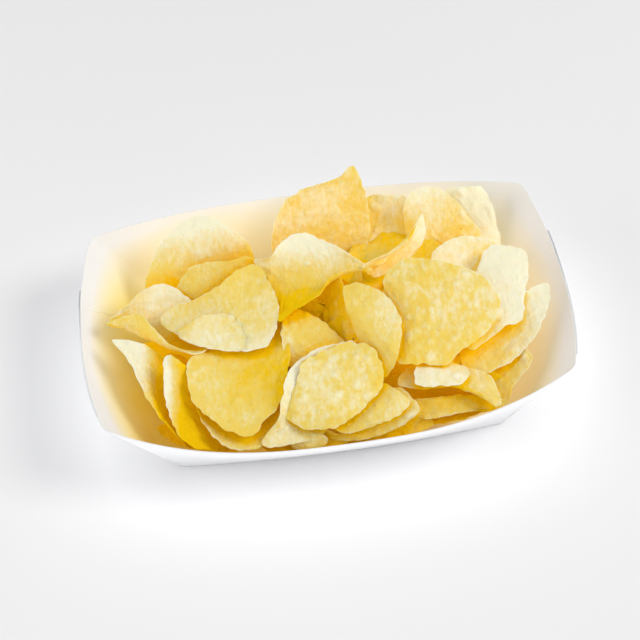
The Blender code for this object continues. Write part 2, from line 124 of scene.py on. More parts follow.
# The photograph's line of sight, in degrees, metres and, for the focal length, picture widths
VIEW_ELEVATION = 51.0
VIEW_AZIMUTH = -5.27
VIEW_ROLL = -3.37
VIEW_DISTANCE = 0.846
VIEW_AIM = (0.0, 0.025, 0.0)
VIEW_FOCAL = 2.6264
FRAME_SIDE = 640  # pixels

# The stage
TABLE_REACH = 3.0
TABLE_NOISE = (6, 2)
TABLE_DARKEST = 0.99
LIGHTS = (  # the name, place, width and colour of each
    ("key_light", (2.1, -0.5, 2.1), 1.3, (1.0, 0.985, 0.965)),
    ("left_light", (-1.2, -0.15, 0.62), 0.9, (1.0, 1.0, 1.0)),
    ("front_light", (-0.1, -1.3, 0.5), 1.0, (1.0, 1.0, 1.0)),
)
SKY_COLOUR = (0.985, 0.99, 1.0, 1.0)
NEAREST_SEEN = 0.01
LIGHT_BOUNCES = 6
SOFT_SHARE = 0.41  # of the light from all round, added where nothing near hides it
SOFT_REACH = 0.026  # how near something has to be to hide it

# A chip is a film spanned over its rim. Each point of the rim is given as seen in the photograph,
# across and down in its 640 by 640 frame, with its height above the table in millimetres. The belly
# lifts the middle of the film, in millimetres, golds says how deep its colour is (0 pale, 1 deep)
# at the top and at the bottom of it as seen, blisters how many stand on it, and side how much deeper
# its right edge is than its left one. Golds and side are partly the chip's own tone and partly
# painted light and shade: paler where light falls on it, deeper where it lies in shade.
Chip = namedtuple("Chip", "name rim belly golds blisters side", defaults=[0.0])

BACK_CHIPS = [
    Chip("back_standing", [
        (352, 165, 67), (362, 182, 59), (368, 205, 48), (370, 232, 36), (362, 262, 23), (335, 280, 15),
        (300, 282, 14), (276, 264, 22), (271, 243, 32), (275, 222, 42), (284, 203, 50), (300, 190, 56),
        (320, 183, 60), (338, 177, 62),
    ], -3, (0.45, 0.65), 30, 0.3),
    Chip("back_left_domed", [
        (200, 216, 58), (218, 220, 58), (232, 230, 55), (246, 240, 50), (254, 258, 42), (243, 276, 35),
        (222, 292, 29), (190, 302, 25), (160, 302, 24), (145, 290, 29), (150, 268, 37), (159, 246, 45),
        (168, 236, 50), (183, 222, 55),
    ], 4, (-0.3, 1.7), 12, 0.3),
    Chip("back_left_lobe", [
        (251, 257, 53), (226, 261, 54), (205, 263, 52), (190, 268, 49), (181, 279, 44), (177, 292, 40),
        (186, 305, 36), (205, 312, 34), (230, 305, 35), (250, 288, 40), (260, 268, 47),
    ], 3, (0.6, 1.1), 8, 0.3),
    Chip("back_cupped", [
        (362, 267, 60), (380, 257, 60), (396, 247, 59), (412, 233, 57), (420, 215, 55), (425, 226, 50),
        (422, 243, 46), (412, 256, 43), (395, 268, 42), (376, 276, 46),
    ], 0, (0.2, 0.35), 6),
    Chip("back_middle", [
        (366, 197, 46), (388, 194, 48), (410, 200, 47), (420, 216, 42), (412, 238, 34), (392, 252, 28),
        (370, 250, 28), (362, 225, 36),
    ], -3, (0.15, 0.8), 10),
    Chip("back_right", [
        (408, 195, 52), (425, 187, 54), (442, 190, 54), (458, 203, 50), (470, 218, 44), (482, 238, 36),
        (470, 258, 28), (440, 262, 26), (415, 250, 30), (404, 225, 40),
    ], 2, (0.2, 0.8), 16),
    Chip("back_far_right", [
        (446, 190, 50), (465, 186, 51), (482, 188, 49), (490, 200, 44), (495, 220, 36), (500, 245, 27),
        (480, 262, 22), (455, 250, 26), (445, 220, 36), (442, 200, 46),
    ], 0, (-0.3, 0.3), 8),
]
LEFT_CHIPS = [
    Chip("left_pointed", [
        (103, 326, 44), (117, 313, 46), (132, 300, 48), (150, 286, 48), (165, 284, 46), (180, 291, 43),
        (200, 310, 40), (212, 335, 41), (202, 352, 46), (182, 350, 49), (165, 341, 51), (152, 328, 52),
        (140, 315, 52), (120, 318, 48),
    ], -12, (0.1, 0.7), 8),
    Chip("left_large", [
        (160, 321, 45), (172, 307, 47), (192, 301, 49), (215, 288, 53), (238, 270, 58), (256, 265, 59),
        (269, 281, 57), (278, 305, 53), (277, 325, 50), (266, 346, 47), (240, 351, 45), (210, 347, 45),
        (184, 340, 45),
    ], -3, (0.95, 0.3), 10),
    Chip("left_large_front", [
        (177, 332, 46.5), (189, 323, 50.5), (203, 316, 52), (218, 315, 49.5), (236, 318, 45.5),
        (256, 324, 43), (268, 332, 42), (262, 345, 44), (238, 351.5, 45), (210, 348.5, 46),
        (184, 341, 46),
    ], 2, (0.55, 0.45), 10),
    Chip("left_leaning_outer", [
        (112, 340, 46), (128, 340, 47), (146, 346, 46), (168, 362, 38), (188, 386, 29), (203, 415, 22),
        (212, 442, 19), (198, 448, 22), (184, 444, 28), (170, 430, 33), (154, 408, 38), (140, 386, 42),
        (132, 366, 45), (122, 352, 46),
    ], -2, (1.4, 1.7), 10, 6.0),
    Chip("left_leaning_inner", [
        (164, 357, 47), (172, 356, 48), (186, 366, 44), (200, 388, 35), (212, 412, 28), (224, 436, 23),
        (228, 448, 21), (210, 451, 24), (192, 446, 29), (177, 432, 34), (168, 412, 38), (164, 392, 42),
        (163, 372, 45),
    ], -2, (2.1, 2.3), 10, 6.5),
    Chip("front_left", [
        (189, 360, 46), (187, 378, 43), (190, 395, 40), (197, 408, 38), (212, 421, 36), (228, 431, 35),
        (245, 437, 34), (256, 434, 35), (265, 420, 37), (277, 408, 39), (286, 390, 42), (290, 360, 45),
        (288, 335, 46), (278, 322, 45), (255, 330, 43), (215, 345, 42),
    ], -3, (1.15, 0.9), 24, 0.5),
    Chip("front_left_under", [
        (190, 385, 38), (196, 408, 35), (203, 424, 33), (214, 438, 31), (232, 449, 29), (252, 450, 29),
        (268, 443, 30), (280, 428, 33), (287, 405, 35), (288, 380, 36), (260, 365, 35), (220, 365, 35),
    ], -4, (0.6, 0.5), 10, 0.5),
]
MIDDLE_CHIPS = [
    Chip("middle_saddle", [
        (254, 260, 57), (268, 256, 60), (284, 240, 63), (303, 232, 65), (322, 240, 64), (345, 252, 62),
        (372, 270, 58), (352, 271, 60), (334, 274, 61), (318, 296, 58), (300, 308, 56), (280, 321, 52),
        (276, 300, 50), (266, 278, 53),
    ], -6, (-0.4, 2.0), 14),
    Chip("middle_oval", [
        (344, 288, 59), (356, 283, 61), (370, 287, 62), (386, 296, 61), (397, 310, 59), (402, 328, 56),
        (400, 348, 52), (395, 364, 48), (386, 376, 44), (374, 370, 43), (362, 350, 46), (354, 325, 51),
        (346, 305, 57),
    ], 3, (0.75, 0.75), 2, -0.3),
    Chip("middle_steep", [
        (336, 273, 58), (344, 285, 56), (350, 305, 52), (356, 325, 48), (358, 342, 44), (340, 340, 40),
        (328, 330, 40), (318, 312, 42), (318, 300, 45), (326, 288, 51),
    ], 0, (1.1, 1.0), 6),
    Chip("middle_low", [
        (284, 312, 49), (300, 310, 49), (318, 318, 48), (335, 332, 45), (345, 345, 41), (330, 362, 38),
        (305, 372, 36), (288, 365, 40), (282, 340, 46),
    ], 2, (0.9, 0.6), 20),
    Chip("front_middle_rim", [
        (352, 341, 50), (335, 344, 51), (318, 348, 51), (302, 358, 50), (290, 370, 48), (284, 385, 46),
        (281, 402, 43), (280, 415, 40), (272, 430, 36), (262, 442, 32), (270, 447, 29), (290, 445, 27),
        (320, 435, 28), (345, 410, 34), (360, 380, 40), (365, 355, 46),
    ], -3, (-0.3, 0.5), 10),
    Chip("front_blistered", [
        (303, 363, 50), (318, 354, 52), (335, 346, 53), (355, 343, 53), (372, 348, 54), (381, 362, 52),
        (384, 380, 48), (378, 393, 44), (366, 405, 41), (352, 418, 38), (338, 427, 36), (318, 430, 34),
        (300, 427, 34), (287, 418, 36), (290, 402, 40), (298, 380, 45),
    ], 2, (0.9, 0.65), 80),
    Chip("front_middle_small", [
        (384, 384, 42), (398, 391, 41), (409, 401, 39), (403, 412, 37), (390, 420, 35), (372, 426, 33),
        (350, 433, 31), (335, 428, 31), (345, 410, 34), (360, 395, 38), (372, 385, 41),
    ], 1, (0.75, 0.6), 14),
    Chip("front_middle_under", [
        (400, 388, 37), (412, 398, 36), (420, 410, 34), (410, 420, 31), (395, 429, 28), (375, 437, 26),
        (350, 441, 24), (325, 437, 24), (330, 425, 27), (350, 410, 31), (375, 395, 35),
    ], 1, (0.7, 0.5), 14),
]
RIGHT_CHIPS = [
    Chip("right_upper", [
        (438, 247, 53), (455, 238, 55), (475, 236, 55), (495, 243, 52), (505, 262, 46), (500, 285, 42),
        (470, 290, 44), (445, 280, 46), (430, 262, 49),
    ], 1, (0.3, 0.3), 10),
    Chip("right_blistered", [
        (384, 278, 60), (400, 262, 64), (422, 258, 66), (448, 263, 66), (472, 270, 64), (492, 285, 61),
        (500, 305, 57), (492, 325, 54), (475, 342, 51), (460, 352, 49), (447, 364, 46), (422, 364, 46),
        (398, 362, 46), (392, 340, 49), (388, 310, 54),
    ], 2, (0.8, 0.85), 80, -0.3),
    Chip("right_pale", [
        (490, 246, 58), (508, 246, 58), (524, 252, 56), (528, 268, 54), (525, 295, 50), (521, 320, 46),
        (505, 327, 46), (490, 338, 45), (470, 350, 44), (464, 330, 47), (470, 300, 52), (478, 265, 56),
    ], 1, (0.0, 0.2), 16),
    Chip("right_low", [
        (548, 283, 48), (550, 296, 46), (545, 315, 43), (536, 335, 40), (520, 355, 37), (500, 368, 35),
        (478, 375, 34), (462, 365, 36), (462, 345, 38), (480, 320, 42), (510, 300, 45), (532, 288, 48),
    ], -2, (0.2, 0.6), 14, -0.4),
    Chip("right_corner", [
        (529, 350, 38), (532, 362, 35), (522, 375, 31), (513, 388, 28), (508, 402, 25), (490, 405, 24),
        (472, 395, 26), (470, 378, 27), (485, 362, 30), (508, 350, 33),
    ], -1, (0.6, 0.8), 12),
    Chip("front_right_top", [
        (414, 379, 42), (420, 366, 43), (450, 362, 42), (470, 372, 41), (460, 384, 41), (440, 386, 41),
        (420, 386, 41),
    ], 1, (0.3, 0.4), 8),
    Chip("front_right_folded", [
        (398, 384, 37), (415, 389, 37), (440, 387, 38), (465, 387, 38), (480, 393, 37), (490, 402, 35),
        (499, 409, 33), (500, 395, 34), (490, 375, 36), (450, 365, 38), (410, 368, 38),
    ], 0, (0.3, 0.7), 12, 0.2),
    Chip("front_right_low", [
        (402, 412, 27), (425, 419, 27), (450, 415, 27), (480, 410, 27), (498, 410, 26), (505, 400, 28),
        (470, 395, 30), (430, 398, 31), (405, 402, 30),
    ], 0, (1.0, 0.6), 12),
]
# The low chips' deep golds are partly painted shade, for the light that reaches them through the chips
# above
LOW_CHIPS = [
    Chip("under_left", [
        (128, 350, 24), (160, 342, 31), (195, 345, 36), (212, 370, 32), (202, 402, 23), (178, 402, 18),
        (148, 378, 20),
    ], -3, (1.2, 1.2), 8),
    Chip("under_back", [
        (356, 240, 28), (385, 232, 33), (425, 235, 35), (448, 255, 40), (442, 285, 42), (400, 300, 43),
        (370, 295, 42), (350, 270, 36),
    ], -4, (1.2, 1.2), 8),
    Chip("under_middle", [
        (282, 300, 38), (310, 283, 43), (340, 278, 46), (362, 300, 42), (352, 340, 37), (320, 352, 34),
        (288, 338, 34),
    ], -5, (1.2, 1.1), 6),
    Chip("under_right", [
        (388, 380, 30), (420, 368, 36), (460, 362, 36), (500, 375, 30), (505, 398, 23), (480, 414, 21),
        (440, 424, 19), (405, 418, 22),
    ], -3, (1.2, 1.2), 8),
    Chip("under_front_left", [
        (158, 428, 14), (185, 418, 21), (232, 424, 25), (262, 438, 25), (242, 451, 21), (200, 449, 17),
        (172, 442, 13),
    ], -2, (1.1, 1.0), 8),
    Chip("under_front_middle", [
        (252, 436, 25), (290, 424, 29), (330, 430, 28), (348, 442, 22), (312, 450, 19), (272, 452, 19),
    ], -2, (1.1, 0.9), 6),
    Chip("under_front_right", [
        (330, 434, 24), (370, 424, 28), (415, 414, 29), (434, 424, 23), (402, 438, 20), (352, 446, 19),
    ], -2, (1.1, 1.0), 6),
    Chip("front_middle_scrap", [
        (287, 440, 26), (300, 431, 29), (317, 433, 29), (328, 439, 26), (318, 447, 22), (298, 450, 21),
    ], 1, (0.4, 0.6), 6),
]

CHIP_LISTS = {
    "back_chips": BACK_CHIPS,
    "left_chips": LEFT_CHIPS,
    "middle_chips": MIDDLE_CHIPS,
    "right_chips": RIGHT_CHIPS,
    "low_chips": LOW_CHIPS,
}

# How the chips are made
CHIP_FINISH = "golden_chip"
CHIP_GRID = 62
UNDER_GRID = 26
RIM_SAMPLES = 96
RIM_WAVES = 16
RIM_EVENNESS = 0.7  # under 1 gives the short stretches of a rim more of its points
RUFFLE = 0.9  # millimetres, the waviness of a chip's edge
RUFFLE_LENGTH = 7
RUFFLE_ONSET = 4  # a power of the way from the middle to the rim, as is NIBBLE_ONSET
SWELL = 0.9  # millimetres, the slow rise and fall of its face
SWELL_LENGTH = 14
CRINKLE = 0.4  # millimetres, its quicker rise and fall
CRINKLE_LENGTH = 4.5
NIBBLE = 0.85  # millimetres, how broken the edge is
NIBBLE_LENGTH = 3.2
NIBBLE_ONSET = 8
EDGE_THINNESS = 0.3
EDGE_TAPER = 5
LIP = 0.5  # millimetres, how far the edge is turned up
LIP_START = 0.86  # of the way from the middle to the rim
BLISTER_RADII = (1.1, 3.2)
BLISTER_HEIGHT = 0.24  # of its radius
BLISTER_UNEVENNESS = 0.35
BLISTER_FULLNESS = 1.2
BLISTER_REACH = 0.93  # how near the rim they come
BLISTERS_ABOVE = 0.75  # the share of them on the upper face
MOTTLED_COUNT = 60  # the blisters on a chip that is pale all over its blisters
UNDER_COUNT = 60
CORE_RADII = (0.082, 0.048)
CORE_HEIGHT = 0.036
CORE_SEGMENTS = 96
CORE_LUMP = 0.12
CORE_LUMPS = 6  # how many lumps there are across the core
# The core's deep amber is painted shade, for the light that reaches it only through the chips
CORE_SHADED_GOLD = 1.4
# Painted shade: a face that stands up is painted deeper than a level one, which takes more of the light
# from above
PAINTED_FACING_SHADE = 0.3  # how much deeper than a level face a standing one is coloured
FACING_LEVEL = 0.8  # the upward part of the normal of a face that keeps its colour
CHIP_SHARP = 50  # degrees between the faces of a sharp edge
CHIP_CLEARANCE = 0.0018  # from the middle of a chip to the walls and the floor
SEED_STEP = 100  # between the seeds of one list of chips and the next
UNDER_SEED = 1000

# The chips under those that show, scattered over a mound, in millimetres and degrees
MOUND_CENTRE = (2, -3)
MOUND_RADII = (60, 36)
MOUND_TOP = 40
MOUND_FALL = 14
MOUND_STRETCH = 1.5  # how much rather the chips lean to the front and the back than to the ends
GOLDEN_ANGLE = 2.399963  # in radians; turning by it from chip to chip spreads them evenly
UNDER_DEPTHS = (-4, 2)
UNDER_LEAN = 4
UNDER_OUTWARD_LEAN = 18
UNDER_UNEVEN_LEAN = 12
UNDER_LENGTHS = (19, 25)
UNDER_WIDTHS = (16, 21)
# The chips underneath are a deep gold, partly painted shade for the light that reaches them through the
# chips above
UNDER_SHADED_GOLDS = (1.0, 1.4)
UNDER_BELLIES = (-4, 4)
UNDER_BLISTERS = (4, 20)
UNDER_POINTS = 9
UNDER_CURLS = (-6, 6)
UNDER_BULGES = (-0.1, 0.08)
UNDER_WAVES = (-1.2, 1.2)
FIT_TRIES = 40  # each try draws a chip in, lifts it and makes it smaller
FIT_SHIFT = (0.97, 0.965, 1)
FIT_LIFT = 0.15
FIT_SHRINK = 0.985

# The looks of the chips. A noise has its number of features to a metre, its levels of detail, its
# roughness and its stretch. A tone is added to how golden a place is: 0 is pale.
GOLD_TONE = 0.6
AMBER_TONE = 1.2
MOTTLE_NOISE = (48, 4, 0.6)
MOTTLE_TONE = 0.24
STREAK_NOISE = (620, 4, 0.75, (1.0, 0.45, 0.5))
STREAK_TONE = 0.2
PATCH_NOISE = (230, 3, 0.55, (1.0, 0.6, 0.6))
PATCH_SPAN = (0.38, 0.64)
PATCH_TONES = (0.11, -0.19)
BLISTER_TONE = -0.2
BLISTER_TOP = 0.8  # millimetres, the height of a blister that is palest
# Painted highlight: a chip's rim is painted paler from here outwards
EDGE_START = 0.96  # of the way from the middle to the rim
PAINTED_EDGE_HIGHLIGHT = -0.3
EDGE_NOISE = (110, 2)
EDGE_SPAN = (0.35, 0.65)
SPECK_SCALE = 95
SPECK_SIZES = (0.04, 0.09)
SPECK_RARITY = (0.95, 0.96)
SPECK_BROWN = (0.42, 0.20, 0.04)
GLOSS_NOISE = (160, 3)
GLOSS_RANGE = (0.38, 0.6)
GRAIN_RELIEF = 0.0004
DOME_RELIEFS = ((620, 0.00025), (300, 0.00065))  # the scale and height of bubbles and of puffs
DOME_EDGE = 0.8  # of a cell
NOISE_SPAN = (0.3, 0.7)  # where nearly all of a noise's values lie

# Painted shade: a chip is painted deeper in colour where its neighbours hide the sky from it, standing in
# for the light that comes through them
SHADE_GRID = 14
SHADE_REACH = 0.03
SHADE_GAP = 0.0022  # how far from a chip's middle the lines start
SHADE_TONE = 1.8
SHADE_FREE = 0.08  # the shade that leaves a chip's own colour as it is
SHADE_GRAZING = 0.1  # lines that graze a face more than this count for nothing
SHADE_RINGS = ((90, 1), (62, 6), (34, 6))  # the elevation and the number of the lines cast


def vary(value, draw, amount):
    """A value made larger or smaller at random by up to this share."""
    return value * (1 + draw.uniform(-amount, amount))


def view_axes():
    """The right, up and forward directions of the photograph's view."""
    elevation, azimuth, roll = (math.radians(v) for v in (VIEW_ELEVATION, VIEW_AZIMUTH, VIEW_ROLL))
    backward = Vector((
        math.cos(elevation) * math.sin(azimuth),
        -math.cos(elevation) * math.cos(azimuth),
        math.sin(elevation),
    ))
    level = Vector((math.cos(azimuth), math.sin(azimuth), 0))
    upright = backward.cross(level)
    right = level * math.cos(roll) + upright * math.sin(roll)
    up = upright * math.cos(roll) - level * math.sin(roll)
    return right, up, -backward


def seen_place(across, down, height):
    """The place at this height in millimetres that the photograph shows at this pixel, in metres."""
    right, up, forward = view_axes()
    eye = Vector(VIEW_AIM) - forward * VIEW_DISTANCE
    middle, focal = FRAME_SIDE / 2, VIEW_FOCAL * FRAME_SIDE
    sight = forward + right * (across - middle) / focal - up * (down - middle) / focal
    return eye + sight * (height * MM - eye.z) / sight.z


def rim_curve(points):
    """Points evenly round a smooth closed curve through these points, and its waves."""
    count = len(points)
    steps = [(points[(n + 1) % count] - points[n]).length ** RIM_EVENNESS for n in range(count)]
    total = sum(steps)
    curve = []
    for number, step in enumerate(steps):
        before, here, after, later = (points[(number + shift) % count] for shift in (-1, 0, 1, 2))
        leaving = (after - before) * step / (step + steps[number - 1])
        reaching = (later - here) * step / (step + steps[(number + 1) % count])
        first = math.ceil(sum(steps[:number]) / total * RIM_SAMPLES)
        last = math.ceil(sum(steps[: number + 1]) / total * RIM_SAMPLES)
        for sample in range(first, last):
            part = (sample / RIM_SAMPLES * total - sum(steps[:number])) / step
            square, cube = part**2, part**3
            curve.append(
                here * (2 * cube - 3 * square + 1)
                + leaving * (cube - 2 * square + part)
                + after * (3 * square - 2 * cube)
                + reaching * (cube - square)
            )
    return np.array(curve)


def facing(curve):
    """The direction that a chip with this rim faces, which is upwards."""
    arms = curve - curve.mean(axis=0)
    normal = np.cross(arms, np.roll(arms, -1, axis=0)).sum(axis=0)
    normal = Vector(normal).normalized()
    return normal if normal.z > 0 else -normal


def film_points(curve, belly, spots):
    """The points of a film spanned over a rim, for spots on the unit disc."""
    waves = np.fft.rfft(curve, axis=0)[: RIM_WAVES + 1] / len(curve)
    waves[1:] *= 2
    turns = np.array([complex(spot[0], spot[1]) for spot in spots])
    powers = turns[:, None] ** np.arange(RIM_WAVES + 1)[None, :]
    film = (powers @ waves).real
    lift = belly * MM * (1 - np.abs(turns) ** 2)
    return film + lift[:, None] * np.array(facing(curve))[None, :]


def disc_place(across, along):
    """A place on the unit disc for a place on the square from -1 to 1."""
    return across * math.sqrt(1 - along**2 / 2), along * math.sqrt(1 - across**2 / 2)


def blister_list(count, size, draw):
    """The centre on the unit disc, the radius and the height of each blister, in millimetres."""
    found = []
    for _ in range(count):
        angle, reach = draw.uniform(0, 2 * math.pi), math.sqrt(draw.random()) * BLISTER_REACH
        radius = BLISTER_RADII[0] + (BLISTER_RADII[1] - BLISTER_RADII[0]) * draw.random() ** 2
        side = 1 if draw.random() < BLISTERS_ABOVE else -1
        height = vary(radius * BLISTER_HEIGHT, draw, BLISTER_UNEVENNESS) * side
        found.append((reach * math.cos(angle), reach * math.sin(angle), radius / size, height))
    return found


def blister_rise(spot, blisters, side):
    """How far, in millimetres, the face on this side is raised by the blisters at a spot."""
    rise = 0.0
    for across, along, radius, height in blisters:
        if height * side <= 0:
            continue
        gap = ((spot[0] - across) ** 2 + (spot[1] - along) ** 2) / radius**2
        if gap < 1:
            rise = max(rise, abs(height) * (1 - gap) ** BLISTER_FULLNESS)
    return rise


def unevenness(place, rim, shift):
    """How far a chip's face rises and its edge reaches out at a place, in millimetres."""
    rise = SWELL * noise.noise(place / SWELL_LENGTH + shift)
    rise += CRINKLE * noise.noise(place / CRINKLE_LENGTH - shift)
    rise += RUFFLE * rim**RUFFLE_ONSET * noise.noise(place / RUFFLE_LENGTH + 2 * shift)
    lip = LIP * max(rim - LIP_START, 0) / (1 - LIP_START)
    rise += lip * (0.5 + noise.noise(place / SWELL_LENGTH - 2 * shift))
    reach = NIBBLE * rim**NIBBLE_ONSET * noise.noise(place / NIBBLE_LENGTH - 3 * shift)
    return rise, reach


def doubled(shape):
    """Doubles an open surface into a closed one. Returns each point's place in the list of points,
    with its normal, for the points that stay and for their twins."""
    shape.normal_update()
    lower = list(shape.verts)
    found = {tuple(vertex.co): (index, vertex.normal.copy()) for index, vertex in enumerate(lower)}
    extruded = bmesh.ops.extrude_face_region(shape, geom=list(shape.faces), use_keep_orig=True)["geom"]
    upper = [item for item in extruded if isinstance(item, bmesh.types.BMVert)]
    return [[(vertex, *found[tuple(vertex.co)]) for vertex in side] for side in (lower, upper)]


def sky_lines():
    """The directions in which a chip looks for others that shade it."""
    lines = []
    for elevation, count in SHADE_RINGS:
        rise, reach = math.sin(math.radians(elevation)), math.cos(math.radians(elevation))
        for step in range(count):
            turn = 2 * math.pi * (step + elevation / 90) / count
            lines.append(Vector((reach * math.cos(turn), reach * math.sin(turn), rise)))
    return lines


def heap_films(chips):
    """All chips as plain films in one search tree."""
    points, faces = [], []
    steps = [2 * step / SHADE_GRID - 1 for step in range(SHADE_GRID + 1)]
    spots = [disc_place(across, along) for along in steps for across in steps]
    row = SHADE_GRID + 1
    for curve, belly, *_ in chips:
        first = len(points)
        points += [Vector(point) for point in film_points(curve, belly, spots)]
        for corner in range(SHADE_GRID * row):
            if corner % row < SHADE_GRID:
                here = first + corner
                faces.append((here, here + 1, here + row + 1, here + row))
    return BVHTree.FromPolygons(points, faces)


def shade(films, point, normal, lines):
    """How much of the sky the other chips hide from a point, from 0 to 1."""
    hidden = total = 0.0
    start = point + normal * SHADE_GAP
    for line in lines:
        share = normal.dot(line)
        if share > SHADE_GRAZING:
            total += share
            far = films.ray_cast(start, line, SHADE_REACH)[3]
            if far is not None:
                hidden += share * (1 - far / SHADE_REACH)
    return hidden / total if total else 1.0


def make_chip(curve, belly, golds, blister_count, seed, thickness, grid, films):
    """One chip as a mesh, with how golden it is, painted light and shade included, how near its rim and
    how blistered at each point.
    """
    draw = random.Random(seed)
    shift = Vector((draw.uniform(0, 50), draw.uniform(0, 50), draw.uniform(0, 50)))
    middle = Vector(curve.mean(axis=0))
    size = float(np.linalg.norm(curve - curve.mean(axis=0), axis=1).mean()) / MM
    blisters = blister_list(blister_count, size, draw)
    shape = bmesh.new()
    bmesh.ops.create_grid(shape, x_segments=grid, y_segments=grid, size=1.0)
    layers = [shape.verts.layers.float.new(name) for name in ("gold", "rim", "bubble", "mottled")]
    spots = [disc_place(vertex.co.x, vertex.co.y) for vertex in shape.verts]
    rightwards, upwards, _ = view_axes()
    for vertex, place in zip(shape.verts, film_points(curve, belly, spots)):
        vertex[layers[1]] = max(abs(vertex.co.x), abs(vertex.co.y))
        vertex.co = place
        # Partly painted light and shade: the tone runs from the top golds to the bottom ones as seen, and
        # deepens to the right by side
        rise, out = ((vertex.co - middle).dot(axis) / MM / size for axis in (upwards, rightwards))
        vertex[layers[0]] = golds[1] + (golds[0] - golds[1]) * min(max(0.5 + rise / 2, 0), 1)
        vertex[layers[0]] += golds[2] * min(max(out / 2, -0.5), 0.5)
        vertex[layers[3]] = min(blister_count / MOTTLED_COUNT, 1)
    shape.normal_update()
    if sum((face.normal.z * face.calc_area() for face in shape.faces)) < 0:
        bmesh.ops.reverse_faces(shape, faces=shape.faces)
        shape.normal_update()
    normals = [vertex.normal.copy() for vertex in shape.verts]
    lines = sky_lines()
    for vertex, normal in zip(shape.verts, normals):
        # Painted shade: a face that stands up is painted deeper than a level one
        vertex[layers[0]] += PAINTED_FACING_SHADE * (FACING_LEVEL - normal.z)
        # Painted shade: deeper where other chips hide the sky, standing in for the light that comes
        # through them
        vertex[layers[0]] += SHADE_TONE * (shade(films, vertex.co, normal, lines) - SHADE_FREE)
        rise, reach = unevenness(vertex.co / MM, vertex[layers[1]], shift)
        outwards = (vertex.co - middle).normalized()
        vertex.co = clear_of_walls(vertex.co + normal * rise * MM + outwards * reach * MM)
    for side, points in zip((-1, 1), doubled(shape)):
        for vertex, index, normal in points:
            rise = blister_rise(spots[index], blisters, side)
            fullness = min(1.0, EDGE_THINNESS + (1 - vertex[layers[1]]) * EDGE_TAPER)
            vertex[layers[2]] = rise
            vertex.co += normal * side * (thickness / 2 * fullness + rise * MM)
    bmesh.ops.recalc_face_normals(shape, faces=shape.faces)
    mesh = bpy.data.meshes.new("chip")
    shape.to_mesh(mesh)
    shape.free()
    return mesh


def make_piece(name, chips, seed, thickness, grid, surface, films):
    """Joins chips, each a rim curve with its belly, golds and blisters, into one object."""
    joined = bmesh.new()
    for number, (curve, belly, golds, blisters) in enumerate(chips):
        mesh = make_chip(curve, belly, golds, blisters, seed + number, thickness, grid, films)
        joined.from_mesh(mesh)
        bpy.data.meshes.remove(mesh)
    return finish_piece(name, joined, surface)


def top_chips(specs):
    """The rim curve, belly, golds and blisters of each chip of a list."""
    return [
        (
            rim_curve([seen_place(*point) for point in spec.rim]),
            spec.belly,
            (*spec.golds, spec.side),
            spec.blisters,
        )
        for spec in specs
    ]


def finish_piece(name, shape, surface, sharp=CHIP_SHARP):
    """Makes an object of this bmesh, and frees the bmesh."""
    mesh = bpy.data.meshes.new(name)
    shape.to_mesh(mesh)
    shape.free()
    mesh.materials.append(surface)
    mesh.shade_smooth()
    if sharp:
        mesh.set_sharp_from_angle(angle=math.radians(sharp))
    made = bpy.data.objects.new(name, mesh)
    bpy.context.scene.collection.objects.link(made)
    return made


def wall_limits(point):
    """How far along X and along Y the tray's inside reaches at this height, in metres."""
    up = min(max(point.z / CORNER_HEIGHT, 0), 1)
    along = min(abs(point.x) / (BASE_LENGTH + (RIM_LENGTH - BASE_LENGTH) * up) * 2, 1)
    up = min(max(point.z / side_point(1, along, 1, 0).z, 0), 1)
    across = min(abs(point.y) / end_point(1, 1, up, 0).y, 1)
    return end_point(1, across, up, 0).x, side_point(1, along, up, 0).y


def clear_of_walls(point):
    """Draws a point in until it keeps clear of the tray's walls and floor."""
    length, width = (limit - CHIP_CLEARANCE for limit in wall_limits(point))
    x, y = max(min(point.x, length), -length), max(min(point.y, width), -width)
    return Vector((x, y, max(point.z, CHIP_CLEARANCE)))


def make_core(surface):
    """The fill of small pieces in the middle of the heap, seen only between the chips."""
    shape = bmesh.new()
    bmesh.ops.create_uvsphere(shape, u_segments=CORE_SEGMENTS, v_segments=CORE_SEGMENTS // 2, radius=1.0)
    deep = shape.verts.layers.float.new("gold")
    for vertex in shape.verts:
        place = Vector(vertex.co)
        lump = 1 + CORE_LUMP * noise.noise(place * CORE_LUMPS)
        height = CORE_HEIGHT / 2 * (1 + place.z * lump) + CHIP_CLEARANCE
        across, along = (reach * part * lump for reach, part in zip(CORE_RADII, place))
        vertex.co = clear_of_walls(Vector((across, along, height)))
        # Painted shade: the core is coloured deep amber, for the light that reaches it only through the
        # chips
        vertex[deep] = CORE_SHADED_GOLD
    bmesh.ops.recalc_face_normals(shape, faces=shape.faces)
    return finish_piece("heap_core", shape, surface)


def lean_matrix(lean, bearing):
    """Tips a level face over towards a bearing."""
    bearing = math.radians(bearing)
    axis = Vector((-math.sin(bearing), math.cos(bearing), 0))
    return Matrix.Rotation(math.radians(lean), 3, axis)


